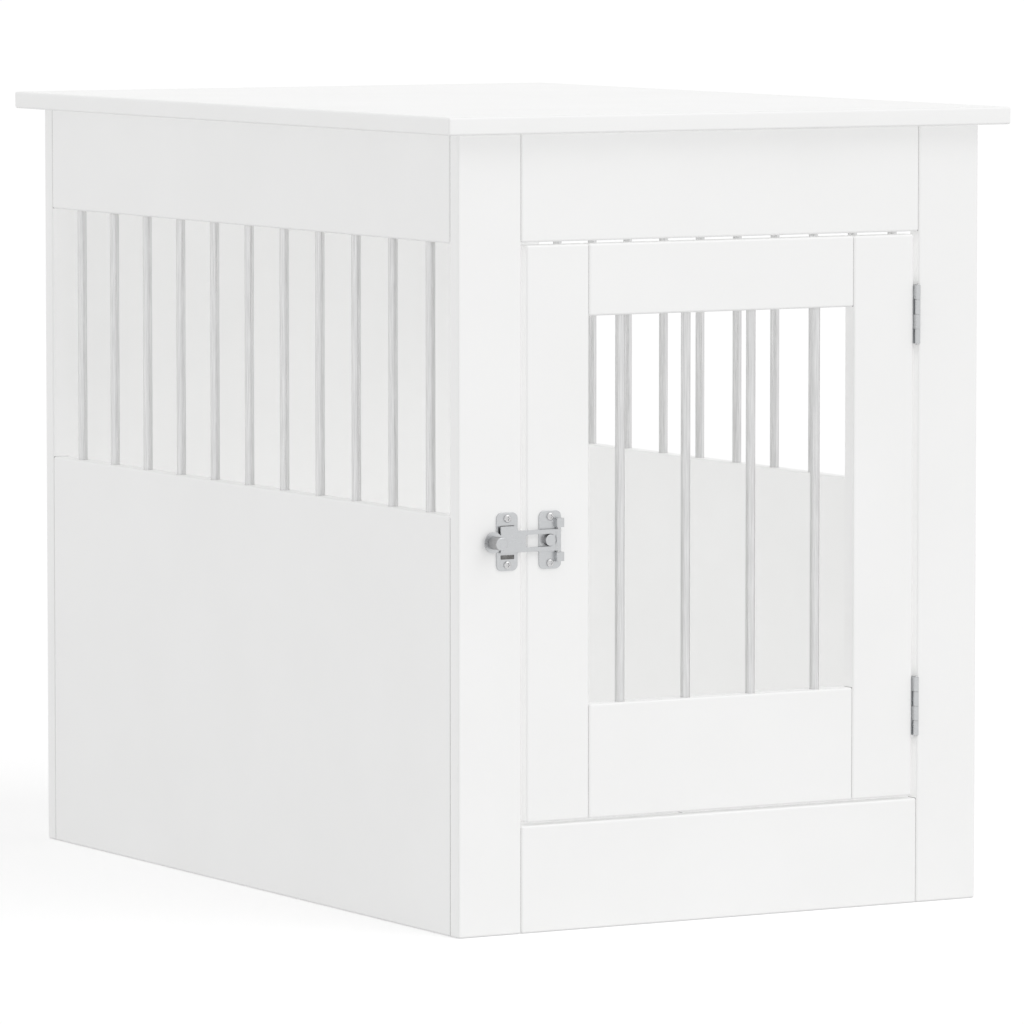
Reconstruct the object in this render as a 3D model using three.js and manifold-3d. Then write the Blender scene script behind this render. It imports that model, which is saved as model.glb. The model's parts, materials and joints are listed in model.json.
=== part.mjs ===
// Dog crate end table: a cabinet of white boards with barred sides, a barred door on
// two butt hinges, and a strap latch. Millimetres, +X to the right, +Y to the back,
// +Z up. The origin is on the floor, under the middle of the table top.

import * as THREE from "three";
import { RoundedBoxGeometry } from "three/addons/geometries/RoundedBoxGeometry.js";
import { mergeVertices } from "three/addons/utils/BufferGeometryUtils.js";
import Module from "manifold-3d";

const wasm = await Module();
wasm.setup();

// Table top.
const topWidth = 550;
const topDepth = 800;
const topThickness = 15;
const topOverhang = 20;
const tableHeight = 680;

// Boards of the cabinet. Boards that meet leave a hairline joint.
const boardThickness = 15;
const edgeEase = 1.5;
const joint = 0.1;
const frontStileWidth = 60;
const frontTopRailHeight = 90;
const frontBottomRailHeight = 90;
const sideTopPanelHeight = 90;
const sideLowerPanelHeight = 350;
const floorThickness = 15;
const floorClearance = 10;

// Door.
const doorSideGap = 5;
const doorTopGap = 2.5;
const doorBottomGap = 2.5;
const doorStileWidth = 60;
const doorTopRailHeight = 60;
const doorBottomRailHeight = 96;

// Upright bars, which stand in blind sockets.
const barRadius = 4;
const barFacets = 12;
const socketClearance = 0.3;
const socketDepth = 10;
const sideBarCount = 11;
const sideBarEndSpace = 45;
const doorBarCount = 4;
const doorBarEndSpace = 34;

// Butt hinges. Their leaves lie in the gap beside the door.
const hingeHeight = 50;
const upperHingeFromDoorTop = 68;
const lowerHingeFromDoorBottom = 77;
const hingeProud = 2.25;
const knuckleCount = 4;
const knuckleRadius = 2.4;
const runningClearance = 0.3;
const hingePinRadius = 1.2;
const hingePinHeadRadius = 2;
const hingePinHeadHeight = 0.8;
const leafThickness = 1.5;
const leafDepth = 13;
const leafScrewSpacing = 28;
const leafScrewInset = 7.5;
const leafScrewHoleRadius = 1.8;
const leafScrewHoleDepth = 12;

// Plates of the latch.
const latchHeight = 328;
const plateHeight = 48.5;
const plateThickness = 1.5;
const plateCornerRadius = 5;
const plateScrewOffset = 19.3;
const keeperPlateWidth = 20;
const keeperPlateInset = 4.5;
const keeperSlotWidth = 13;
const lowerSlotHeight = 3.6;
const lowerSlotDrop = 12.8;
const keeperPocketDepth = 6;
const keeperPocketSpare = 0.5;
const doorPlateWidth = 21;
const doorPlateInset = 11;
const studRadius = 4.8;
const studHeight = 5;
const studFromPin = 8.6;
const earRadius = 2.5;
const earReach = 1.1;
const earOffset = 10.4;
const earHeight = 7.5;
const latchPinInset = 4;
const latchPinHeight = 2.5;
const latchPinRadius = 1;
const latchPinProud = 0.7;

// Strap and knob of the latch.
const strapThickness = 1.5;
const strapEyeRadius = 2.1;
const strapBarHeight = 17.8;
const strapHeadWidth = 15.6;
const strapHeadRise = 13;
const strapFillet = 2.5;
const strapSlotReach = 22.9;
const strapSlotCorner = 2;
const strapSlotClearance = 0.45;
const strapLipClearance = 0.5;
const strapNoseRadius = 8.7;
const strapReach = 62;
const knobRadius = 5.5;
const knobHeight = 13.8;
const knobEase = 0.8;
const knobShankRadius = 2;
const knobTailRadius = 3.2;
const knobTailHeight = 0.8;

// Screws of the latch plates.
const screwHeadRadius = 3.4;
const screwHeadHeight = 1.6;
const screwHeadRim = 0.6;
const screwShankRadius = 1.5;
const screwLength = 11;
const screwTipLength = 3;
const crossWidth = 0.9;
const crossLength = 4;
const crossDepth = 0.9;

// Cam fittings that hold the table top on the side panels.
const camRadius = 7.5;
const camLength = 12;
const camDrop = 24;
const camFromPanelEnd = 130;
const camBoltRadius = 3;
const camBoltIntoTop = 10;
const camSlotWidth = 1.4;
const camSlotDepth = 1.2;

// ------------------------------------------------------------ places worked out

const bodyWidth = topWidth - 2 * topOverhang;
const bodyHeight = tableHeight - topThickness;
const boardTop = bodyHeight - joint;
const leftFace = -bodyWidth / 2;
const rightFace = bodyWidth / 2;
const innerLeft = leftFace + boardThickness;
const innerRight = rightFace - boardThickness;
const frontFace = topOverhang - topDepth / 2;
const backFace = topDepth / 2 - topOverhang;
const frameBack = frontFace + boardThickness;
const backPanelFront = backFace - boardThickness;

const openingLeft = leftFace + frontStileWidth;
const openingRight = rightFace - frontStileWidth;
const openingBottom = frontBottomRailHeight;
const openingTop = bodyHeight - frontTopRailHeight;
const sideOpeningTop = bodyHeight - sideTopPanelHeight;

const doorLeft = openingLeft + doorSideGap;
const doorRight = openingRight - doorSideGap;
const doorBottom = openingBottom + doorBottomGap;
const doorTop = openingTop - doorTopGap;
const windowLeft = doorLeft + doorStileWidth;
const windowRight = doorRight - doorStileWidth;
const windowBottom = doorBottom + doorBottomRailHeight;
const windowTop = doorTop - doorTopRailHeight;

const hingeX = (doorRight + openingRight) / 2;
const hingeY = frontFace - hingeProud;
const hinges = {
  upper: doorTop - upperHingeFromDoorTop,
  lower: doorBottom + lowerHingeFromDoorBottom,
};

const plateBack = frontFace - joint;
const plateFront = plateBack - plateThickness;
const keeperX = openingLeft - keeperPlateInset - keeperPlateWidth / 2;
const doorPlateX = doorLeft + doorPlateInset + doorPlateWidth / 2;
const doorPlateRight = doorPlateX + doorPlateWidth / 2;
const latchPinX = doorPlateRight - latchPinInset;
const latchPinY = plateFront - latchPinHeight;
const earEndX = doorPlateRight + earReach - earRadius;
const studX = latchPinX - studFromPin;
const knobX = latchPinX - strapReach;
const strapFront = latchPinY - strapThickness / 2;
const strapBack = latchPinY + strapThickness / 2;
const lipTop = latchHeight + strapHeadRise;
const lipBottom = lipTop - strapThickness;

// ------------------------------------------------------------ materials

function finish(name, color, roughness, metalness) {
  return new THREE.MeshStandardMaterial({ name, color, roughness, metalness });
}

const whiteBoard = finish("white_board", 0xf3f3f2, 0.45, 0);
const barSteel = finish("bar_steel", 0xcdcdcd, 0.35, 0.9);
const plateSteel = finish("plate_steel", 0xc9c9c9, 0.3, 0.9);
const screwSteel = finish("screw_steel", 0xbdbdbd, 0.25, 0.95);
const camZinc = finish("cam_zinc", 0xa9a9a9, 0.5, 0.85);

// ------------------------------------------------------------ solids

// A closed three.js geometry as a solid that can be cut and joined.
function solidOf(geometry) {
  const bare = geometry.index ? geometry.toNonIndexed() : geometry.clone();
  bare.deleteAttribute("normal");
  bare.deleteAttribute("uv");
  const merged = mergeVertices(bare, 1e-4);
  return new wasm.Manifold(new wasm.Mesh({
    numProp: 3,
    vertProperties: merged.attributes.position.array,
    triVerts: new Uint32Array(merged.index.array),
  }));
}

// The surface of a solid as a three.js geometry.
function geometryOf(solid) {
  const surface = solid.getMesh();
  const positions = new Float32Array(surface.vertProperties);
  const geometry = new THREE.BufferGeometry();
  geometry.setAttribute("position", new THREE.BufferAttribute(positions, 3));
  geometry.setIndex(new THREE.BufferAttribute(new Uint32Array(surface.triVerts), 1));
  geometry.computeVertexNormals();
  return geometry;
}

// A sharp box between two corners.
function box([x0, y0, z0], [x1, y1, z1]) {
  const geometry = new THREE.BoxGeometry(x1 - x0, y1 - y0, z1 - z0);
  geometry.translate((x0 + x1) / 2, (y0 + y1) / 2, (z0 + z1) / 2);
  return solidOf(geometry);
}

// A board between two corners, with its edges eased.
function board([x0, y0, z0], [x1, y1, z1]) {
  const geometry = new RoundedBoxGeometry(x1 - x0, y1 - y0, z1 - z0, 1, edgeEase);
  geometry.translate((x0 + x1) / 2, (y0 + y1) / 2, (z0 + z1) / 2);
  return solidOf(geometry);
}

const toward = {
  left: new THREE.Vector3(-1, 0, 0),
  right: new THREE.Vector3(1, 0, 0),
  front: new THREE.Vector3(0, -1, 0),
  back: new THREE.Vector3(0, 1, 0),
  up: new THREE.Vector3(0, 0, 1),
};

// A solid of revolution. The profile's points are [radius, distance along the axis].
function turned(profile, facets, direction, at) {
  const points = profile.map(([radius, along]) => new THREE.Vector2(radius, along));
  const geometry = new THREE.LatheGeometry(points, facets);
  const turn = new THREE.Quaternion().setFromUnitVectors(toward.back, direction);
  geometry.applyQuaternion(turn);
  geometry.translate(...at);
  return solidOf(geometry);
}

// A round rod from a point along a direction.
function rod(radius, length, facets, direction, at) {
  return turned([[0, 0], [radius, 0], [radius, length], [0, length]], facets, direction, at);
}

// A sheet cut to an outline drawn in X and Z, between two depths in Y.
function sheet(outline, front, back) {
  const geometry = new THREE.ExtrudeGeometry(outline, {
    depth: back - front,
    bevelEnabled: false,
    curveSegments: 8,
  });
  geometry.rotateX(Math.PI / 2);
  geometry.translate(0, back, 0);
  return solidOf(geometry);
}

const cut = (solid, tools) => tools.reduce((rest, tool) => rest.subtract(tool), solid);
const join = (solids) => solids.reduce((whole, piece) => whole.add(piece));

// Adds a solid that is drawn in the table's frame to a group, as a named mesh.
function add(group, name, solid, material) {
  const { min, max } = solid.boundingBox();
  const centre = min.map((low, k) => (low + max[k]) / 2);
  const mesh = new THREE.Mesh(geometryOf(solid.translate(centre.map((c) => -c))), material);
  mesh.name = name;
  mesh.position.set(...centre).sub(group.getWorldPosition(new THREE.Vector3()));
  group.add(mesh);
}

// ------------------------------------------------------------ upright bars

// Even places in an opening, the first and last `endSpace` in from its ends.
function evenPlaces(from, to, count, endSpace) {
  const pitch = (to - from - 2 * endSpace) / (count - 1);
  return Array.from({ length: count }, (_, k) => from + endSpace + k * pitch);
}

const sideBarYs = evenPlaces(frameBack, backPanelFront, sideBarCount, sideBarEndSpace);
const doorBarXs = evenPlaces(windowLeft, windowRight, doorBarCount, doorBarEndSpace);
const sideBarX = { left: leftFace + boardThickness / 2, right: rightFace - boardThickness / 2 };
const doorBarY = frontFace + boardThickness / 2;

function bar(x, y, low, high) {
  const foot = low - socketDepth + socketClearance;
  const head = high + socketDepth - socketClearance;
  return rod(barRadius, head - foot, barFacets, toward.up, [x, y, foot]);
}

// The two sockets of a bar, one in the board below it and one in the board above it.
function sockets(x, y, low, high) {
  return [low - socketDepth, high].map((start) =>
    rod(barRadius + socketClearance, socketDepth, barFacets, toward.up, [x, y, start]));
}

const sideSockets = (side) => sideBarYs.flatMap((y) =>
  sockets(sideBarX[side], y, sideLowerPanelHeight, sideOpeningTop));
const doorSockets = doorBarXs.flatMap((x) => sockets(x, doorBarY, windowBottom, windowTop));

// ------------------------------------------------------------ cam fittings

const camYs = { front: frameBack + camFromPanelEnd, back: backPanelFront - camFromPanelEnd };
const camZ = bodyHeight - camDrop;

// A cam in the inner face of a side panel and its bolt, which reaches up into the top.
function cam(side, y, spare) {
  const faceX = side === "left" ? innerLeft : innerRight;
  const disc = rod(camRadius + spare, camLength + spare, 20, toward[side], [faceX, y, camZ]);
  const boltLength = camDrop + camBoltIntoTop + spare;
  const bolt = rod(camBoltRadius + spare, boltLength, barFacets, toward.up, [sideBarX[side], y, camZ]);
  return disc.add(bolt);
}

// The screwdriver slot across a cam.
function camSlot(side, y) {
  const faceX = side === "left" ? innerLeft : innerRight;
  return box(
    [faceX - camSlotDepth, y - camRadius, camZ - camSlotWidth / 2],
    [faceX + camSlotDepth, y + camRadius, camZ + camSlotWidth / 2],
  );
}

const camBores = (side) => Object.values(camYs).map((y) => cam(side, y, runningClearance));

// ------------------------------------------------------------ butt hinges

// The two places of the screws of a leaf, on the door's edge or the stile's edge.
function leafScrewPlaces(x, height) {
  const y = frontFace + leafScrewInset;
  return [-1, 1].map((end) => [x, y, height + end * leafScrewSpacing / 2]);
}

// Pilot holes of both hinges in the edge of a board.
function leafPilotHoles(x, direction) {
  const places = Object.values(hinges).flatMap((height) => leafScrewPlaces(x, height));
  return places.map((at) => rod(leafScrewHoleRadius, leafScrewHoleDepth, barFacets, direction, at));
}

// A leaf with every second knuckle, starting with the top one on the door's leaf.
function hingeLeaf(height, isDoor) {
  const outer = isDoor ? doorRight + joint : openingRight - joint;
  const inner = isDoor ? outer + leafThickness : outer - leafThickness;
  const low = height - hingeHeight / 2;
  const high = height + hingeHeight / 2;
  const knuckleHeight = hingeHeight / knuckleCount;
  const plate = box(
    [Math.min(outer, inner), hingeY, low],
    [Math.max(outer, inner), frontFace + leafDepth, high],
  );
  const own = [];
  const others = [];
  for (let k = 0; k < knuckleCount; k += 1) {
    const top = high - k * knuckleHeight;
    const bottom = top - knuckleHeight;
    const isOwn = (k % 2 === 0) === isDoor;
    const foot = bottom + runningClearance / 2;
    const length = knuckleHeight - runningClearance;
    const reach = knuckleRadius + runningClearance;
    if (isOwn) own.push(rod(knuckleRadius, length, 20, toward.up, [hingeX, hingeY, foot]));
    else others.push(box(
      [hingeX - reach, hingeY - reach, bottom - runningClearance / 2],
      [hingeX + reach, hingeY + reach, top + runningClearance / 2],
    ));
  }
  const bore = rod(
    hingePinRadius + runningClearance, hingeHeight, barFacets, toward.up, [hingeX, hingeY, low]);
  const screwHoles = leafScrewPlaces(Math.min(outer, inner), height).map((at) =>
    rod(leafScrewHoleRadius, leafThickness, barFacets, toward.right, at));
  return cut(join([cut(plate, others), ...own]), [bore, ...screwHoles]);
}

function hingePin(height) {
  const headFoot = hingeHeight / 2 + runningClearance;
  const end = headFoot + hingePinHeadHeight;
  const profile = [
    [0, -end], [hingePinHeadRadius, -end], [hingePinHeadRadius, -headFoot],
    [hingePinRadius, -headFoot], [hingePinRadius, headFoot],
    [hingePinHeadRadius, headFoot], [hingePinHeadRadius, end], [0, end],
  ];
  return turned(profile, barFacets, toward.up, [hingeX, hingeY, height]);
}

// ------------------------------------------------------------ latch

// A rectangle with round corners, about a point of the X-Z plane.
function roundedRectangle(x, z, width, height, radius) {
  const right = x + width / 2 - radius;
  const left = x - width / 2 + radius;
  const high = z + height / 2 - radius;
  const low = z - height / 2 + radius;
  const outline = new THREE.Shape();
  outline.absarc(right, low, radius, -Math.PI / 2, 0);
  outline.absarc(right, high, radius, 0, Math.PI / 2);
  outline.absarc(left, high, radius, Math.PI / 2, Math.PI);
  outline.absarc(left, low, radius, Math.PI, 1.5 * Math.PI);
  return outline;
}

const plateScrewHeights = {
  upper: latchHeight + plateScrewOffset,
  lower: latchHeight - plateScrewOffset,
};

// Screw holes of a plate at `x`, as deep as asked from the plate's front.
function plateScrewHoles(x, depth) {
  const radius = screwShankRadius + runningClearance;
  return Object.values(plateScrewHeights).map((z) =>
    rod(radius, depth, barFacets, toward.back, [x, plateFront, z]));
}

// Boxes through the keeper plate's two slots, `spare` larger all round. The upper slot
// takes the strap's lip, and the lower one is empty.
function keeperSlots(front, back, spare) {
  const lowerSlotZ = latchHeight - lowerSlotDrop;
  const slots = [
    [lipBottom - strapLipClearance, lipTop + strapLipClearance],
    [lowerSlotZ - lowerSlotHeight / 2, lowerSlotZ + lowerSlotHeight / 2],
  ];
  return slots.map(([low, high]) => box(
    [keeperX - keeperSlotWidth / 2 - spare, front, low - spare],
    [keeperX + keeperSlotWidth / 2 + spare, back, high + spare],
  ));
}

function keeperPlate() {
  const outline = roundedRectangle(
    keeperX, latchHeight, keeperPlateWidth, plateHeight, plateCornerRadius);
  const slots = keeperSlots(plateFront, plateBack, 0);
  return cut(sheet(outline, plateFront, plateBack), [...slots, ...plateScrewHoles(keeperX, plateThickness)]);
}

// The door's plate, with the stud that the strap drops over and two ears for its pin.
function doorPlate() {
  const outline = roundedRectangle(
    doorPlateX, latchHeight, doorPlateWidth, plateHeight, plateCornerRadius);
  const plate = sheet(outline, plateFront, plateBack);
  const stud = rod(
    studRadius, studHeight + plateThickness, 24, toward.front, [studX, plateBack, latchHeight]);
  const ears = [earOffset, -earOffset - earHeight].flatMap((offset) => {
    const low = latchHeight + offset;
    const high = low + earHeight;
    return [
      rod(earRadius, earHeight, 20, toward.up, [latchPinX, latchPinY, low]),
      rod(earRadius, earHeight, 20, toward.up, [earEndX, latchPinY, low]),
      box([latchPinX, latchPinY - earRadius, low], [earEndX, plateBack, high]),
      box([latchPinX - earRadius, latchPinY, low], [earEndX + earRadius, plateBack, high]),
    ];
  });
  const boreLength = 2 * (earOffset + earHeight);
  const bore = rod(latchPinRadius + runningClearance, boreLength, barFacets, toward.up,
    [latchPinX, latchPinY, latchHeight - boreLength / 2]);
  return cut(join([plate, stud, ...ears]), [bore, ...plateScrewHoles(doorPlateX, plateThickness)]);
}

function latchPin() {
  const length = 2 * (earOffset + earHeight + latchPinProud);
  return rod(latchPinRadius, length, barFacets, toward.up,
    [latchPinX, latchPinY, latchHeight - length / 2]);
}

// The strap's face: a round nose for the knob, a head over the keeper, and the bar.
function strapOutline() {
  const half = strapBarHeight / 2;
  const low = latchHeight - half;
  const high = latchHeight + half;
  const headLeft = keeperX - strapHeadWidth / 2;
  const headRight = keeperX + strapHeadWidth / 2;
  const noseAngle = Math.acos((headLeft - knobX) / strapNoseRadius);
  const outline = new THREE.Shape();
  outline.moveTo(latchPinX, low);
  outline.lineTo(headLeft, low);
  outline.absarc(knobX, latchHeight, strapNoseRadius, -noseAngle, noseAngle, true);
  outline.lineTo(headLeft, lipTop);
  outline.lineTo(headRight, lipTop);
  outline.absarc(headRight + strapFillet, high + strapFillet, strapFillet, Math.PI, 1.5 * Math.PI);
  outline.lineTo(latchPinX, high);
  return outline;
}

// The strap's slot: square at the left with small corners, round about the stud.
function strapSlot() {
  const half = studRadius + strapSlotClearance;
  const left = studX - strapSlotReach + strapSlotCorner;
  const corner = half - strapSlotCorner;
  const slot = new THREE.Path();
  slot.absarc(studX, latchHeight, half, -Math.PI / 2, Math.PI / 2);
  slot.absarc(left, latchHeight + corner, strapSlotCorner, Math.PI / 2, Math.PI);
  slot.absarc(left, latchHeight - corner, strapSlotCorner, Math.PI, 1.5 * Math.PI);
  return slot;
}

function strap() {
  const outline = strapOutline();
  outline.holes.push(strapSlot());
  const eye = rod(strapEyeRadius, strapBarHeight, 20, toward.up,
    [latchPinX, latchPinY, latchHeight - strapBarHeight / 2]);
  const lipHalf = keeperSlotWidth / 2 - strapLipClearance;
  const lip = box(
    [keeperX - lipHalf, latchPinY, lipBottom],
    [keeperX + lipHalf, plateBack - strapLipClearance, lipTop],
  );
  const pinBore = rod(latchPinRadius + runningClearance, strapBarHeight, barFacets, toward.up,
    [latchPinX, latchPinY, latchHeight - strapBarHeight / 2]);
  const knobHole = rod(knobShankRadius + runningClearance, strapThickness, barFacets, toward.front,
    [knobX, strapBack, latchHeight]);
  return cut(join([sheet(outline, strapFront, strapBack), eye, lip]), [pinBore, knobHole]);
}

// The knob, with the shank and the riveted tail that hold it on the strap.
function knob() {
  const behind = -strapThickness - 2 * joint;
  const tail = behind - knobTailHeight;
  const profile = [
    [0, tail], [knobTailRadius, tail], [knobTailRadius, behind], [knobShankRadius, behind],
    [knobShankRadius, 0], [knobRadius, 0], [knobRadius, knobHeight - knobEase],
    [knobRadius - knobEase, knobHeight], [0, knobHeight],
  ];
  return turned(profile, 24, toward.front, [knobX, strapFront - joint, latchHeight]);
}

// A round-headed screw with a cross recess, from its plate's front into the board.
function plateScrew(x, z) {
  const seat = plateFront - joint;
  const dome = screwHeadRadius * 0.62;
  const profile = [
    [0, -screwHeadHeight], [dome, -screwHeadHeight], [screwHeadRadius, -screwHeadRim],
    [screwHeadRadius, 0], [screwShankRadius, 0],
    [screwShankRadius, screwLength - screwTipLength], [0, screwLength],
  ];
  const body = turned(profile, 16, toward.back, [x, seat, z]);
  const top = seat - screwHeadHeight;
  const arms = [[crossLength, crossWidth], [crossWidth, crossLength]].map(([wide, tall]) => box(
    [x - wide / 2, top - crossDepth, z - tall / 2],
    [x + wide / 2, top + crossDepth, z + tall / 2],
  ));
  return cut(body, arms);
}

// ------------------------------------------------------------ cabinet

const table = new THREE.Group();
const cabinet = new THREE.Group();
table.add(cabinet);

const keeperPockets = keeperSlots(frontFace - edgeEase, frontFace + keeperPocketDepth, keeperPocketSpare);
const pilotDepth = plateThickness + joint + screwLength;

add(cabinet, "table_top", cut(
  board([-topWidth / 2, -topDepth / 2, bodyHeight], [topWidth / 2, topDepth / 2, tableHeight]),
  [...camBores("left"), ...camBores("right")],
), whiteBoard);
add(cabinet, "front_left_stile", cut(
  board([leftFace, frontFace, 0], [openingLeft, frameBack, boardTop]),
  [...keeperPockets, ...plateScrewHoles(keeperX, pilotDepth)],
), whiteBoard);
add(cabinet, "front_right_stile", cut(
  board([openingRight, frontFace, 0], [rightFace, frameBack, boardTop]),
  leafPilotHoles(openingRight, toward.right),
), whiteBoard);
add(cabinet, "front_top_rail", board(
  [openingLeft + joint, frontFace, openingTop], [openingRight - joint, frameBack, boardTop],
), whiteBoard);
add(cabinet, "front_bottom_rail", board(
  [openingLeft + joint, frontFace, 0], [openingRight - joint, frameBack, openingBottom],
), whiteBoard);
add(cabinet, "back_panel", board(
  [leftFace, backPanelFront, 0], [rightFace, backFace, boardTop],
), whiteBoard);
add(cabinet, "floor_panel", board(
  [innerLeft + joint, frameBack + joint, floorClearance],
  [innerRight - joint, backPanelFront - joint, floorClearance + floorThickness],
), whiteBoard);

for (const side of ["left", "right"]) {
  const outer = side === "left" ? leftFace : innerRight;
  const inner = outer + boardThickness;
  const front = frameBack + joint;
  const back = backPanelFront - joint;
  add(cabinet, `${side}_top_panel`, cut(
    board([outer, front, sideOpeningTop], [inner, back, boardTop]),
    [...sideSockets(side), ...camBores(side)],
  ), whiteBoard);
  add(cabinet, `${side}_lower_panel`, cut(
    board([outer, front, 0], [inner, back, sideLowerPanelHeight]),
    sideSockets(side),
  ), whiteBoard);
  sideBarYs.forEach((y, k) => {
    const number = String(k + 1).padStart(2, "0");
    const upright = bar(sideBarX[side], y, sideLowerPanelHeight, sideOpeningTop);
    add(cabinet, `${side}_bar_${number}`, upright, barSteel);
  });
  for (const [end, y] of Object.entries(camYs)) {
    add(cabinet, `${side}_${end}_cam`, cam(side, y, 0).subtract(camSlot(side, y)), camZinc);
  }
}

for (const [end, height] of Object.entries(hinges)) {
  add(cabinet, `${end}_hinge_frame_leaf`, hingeLeaf(height, false), plateSteel);
  add(cabinet, `${end}_hinge_pin`, hingePin(height), screwSteel);
}

add(cabinet, "latch_keeper_plate", keeperPlate(), plateSteel);
for (const [end, z] of Object.entries(plateScrewHeights)) {
  add(cabinet, `keeper_screw_${end}`, plateScrew(keeperX, z), screwSteel);
}

// ------------------------------------------------------------ door, about its hinge axis

const door = new THREE.Group();
door.position.set(hingeX, hingeY, 0);
table.add(door);

const doorBack = frontFace + boardThickness;
add(door, "door_left_stile", cut(
  board([doorLeft, frontFace, doorBottom], [windowLeft, doorBack, doorTop]),
  plateScrewHoles(doorPlateX, pilotDepth),
), whiteBoard);
add(door, "door_right_stile", cut(
  board([windowRight, frontFace, doorBottom], [doorRight, doorBack, doorTop]),
  leafPilotHoles(doorRight, toward.left),
), whiteBoard);
add(door, "door_top_rail", cut(
  board([windowLeft + joint, frontFace, windowTop], [windowRight - joint, doorBack, doorTop]),
  doorSockets,
), whiteBoard);
add(door, "door_bottom_rail", cut(
  board([windowLeft + joint, frontFace, doorBottom], [windowRight - joint, doorBack, windowBottom]),
  doorSockets,
), whiteBoard);
doorBarXs.forEach((x, k) => {
  add(door, `door_bar_${k + 1}`, bar(x, doorBarY, windowBottom, windowTop), barSteel);
});
for (const [end, height] of Object.entries(hinges)) {
  add(door, `${end}_hinge_door_leaf`, hingeLeaf(height, true), plateSteel);
}
add(door, "latch_door_plate", doorPlate(), plateSteel);
add(door, "latch_pin", latchPin(), screwSteel);
for (const [end, z] of Object.entries(plateScrewHeights)) {
  add(door, `door_plate_screw_${end}`, plateScrew(doorPlateX, z), screwSteel);
}

// ------------------------------------------------------------ latch strap, about its pin

const latch = new THREE.Group();
latch.position.set(latchPinX - hingeX, latchPinY - hingeY, 0);
door.add(latch);

add(latch, "latch_strap", strap(), plateSteel);
add(latch, "latch_knob", knob(), plateSteel);

export default table;
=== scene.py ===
# %% [markdown]
# # A dog crate that is also an end table
# The real thing is a white cabinet of laminated boards with upright steel bars in its
# sides, a barred door on two butt hinges, and a small strap latch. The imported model
# gives every piece its place and size. This script gives each piece its finished
# shape and surface: rounded board edges, bored sockets, curled hinge knuckles,
# recessed screws, satin laminate and drawn steel.
#
# All sizes are metres, +X is right, +Y is back and +Z is up.

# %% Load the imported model
import json
import math

import bpy
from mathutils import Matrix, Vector


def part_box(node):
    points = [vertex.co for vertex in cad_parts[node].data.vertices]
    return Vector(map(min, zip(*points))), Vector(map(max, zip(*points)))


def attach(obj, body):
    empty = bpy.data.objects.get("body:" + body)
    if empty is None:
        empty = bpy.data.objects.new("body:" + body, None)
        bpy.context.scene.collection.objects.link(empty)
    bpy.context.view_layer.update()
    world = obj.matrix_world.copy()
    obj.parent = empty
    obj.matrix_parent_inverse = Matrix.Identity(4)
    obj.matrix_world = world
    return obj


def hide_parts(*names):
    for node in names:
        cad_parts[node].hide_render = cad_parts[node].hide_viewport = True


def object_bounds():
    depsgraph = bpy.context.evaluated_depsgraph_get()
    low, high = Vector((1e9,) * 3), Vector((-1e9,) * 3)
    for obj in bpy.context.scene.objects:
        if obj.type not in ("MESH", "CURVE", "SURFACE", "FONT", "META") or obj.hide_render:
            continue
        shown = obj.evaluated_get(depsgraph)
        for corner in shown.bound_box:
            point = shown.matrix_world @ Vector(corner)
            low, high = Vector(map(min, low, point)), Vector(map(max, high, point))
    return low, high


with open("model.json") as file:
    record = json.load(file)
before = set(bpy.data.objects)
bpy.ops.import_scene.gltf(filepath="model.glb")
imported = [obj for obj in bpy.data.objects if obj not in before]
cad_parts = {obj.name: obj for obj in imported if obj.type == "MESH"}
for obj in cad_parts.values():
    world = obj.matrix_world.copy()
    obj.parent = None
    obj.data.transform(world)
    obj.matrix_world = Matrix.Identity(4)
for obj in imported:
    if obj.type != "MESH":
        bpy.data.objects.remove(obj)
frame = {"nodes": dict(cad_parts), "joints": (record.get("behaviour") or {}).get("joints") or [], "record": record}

cad_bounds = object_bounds()
print("packed model:", len(frame["nodes"]), "nodes")

# %% [markdown]
# Three things are looked up again and again: the body that a node moves with, the
# finish that the record names for it, and the places of the two joints. Reading them
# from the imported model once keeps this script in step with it.

# %% Bodies, finishes and joints
record = frame["record"]
body_of = {
    node: body
    for body, members in record["behaviour"]["bodies"].items()
    for node in members
}
finish_of = {part["node"]: part["material_slot"] for part in record["subparts"]}
joint_at = {joint["name"]: Vector(joint["pos_m"]) for joint in frame["joints"]}
mm = 0.001
print("joints:", sorted(joint_at))

# %% [markdown]
# ## Tools for shaping
# Blender's operators act on whatever is selected, and the loaded nodes come in
# selected. So every tool starts by selecting just the piece that it works on. A new
# block or rod is added at its real size and place, and its place is then applied, so
# that its object sits at the origin and its patterns stay put. A wide round piece gets
# 48 facets and a narrow one 32, which look round at this size and stay light.

# %% Blocks and rods
X, Y, Z = (Vector(axis) for axis in ((1, 0, 0), (0, 1, 0), (0, 0, 1)))
wide_round = 48
narrow_round = 32


def pick(*pieces):
    """Selects these pieces alone. The first becomes the active one."""
    bpy.ops.object.select_all(action="DESELECT")
    for piece in pieces:
        piece.select_set(True)
    bpy.context.view_layer.objects.active = pieces[0]


def settle(name):
    """Names the new piece and applies its place, turn and size."""
    piece = bpy.context.active_object
    piece.name = piece.data.name = name
    bpy.ops.object.transform_apply(location=True, rotation=True, scale=True)
    return piece


def block(name, low, high):
    """A sharp block between two corners."""
    low, high = Vector(low), Vector(high)
    bpy.ops.object.select_all(action="DESELECT")
    bpy.ops.mesh.primitive_cube_add(size=1, location=(low + high) / 2, scale=high - low)
    return settle(name)


def rod(name, radius, start, end, facets=wide_round):
    """A round rod from one point to another."""
    start, end = Vector(start), Vector(end)
    turn = Z.rotation_difference((end - start).normalized()).to_euler()
    bpy.ops.object.select_all(action="DESELECT")
    bpy.ops.mesh.primitive_cylinder_add(
        vertices=facets,
        radius=radius,
        depth=(end - start).length,
        location=(start + end) / 2,
        rotation=turn,
    )
    return settle(name)


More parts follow.
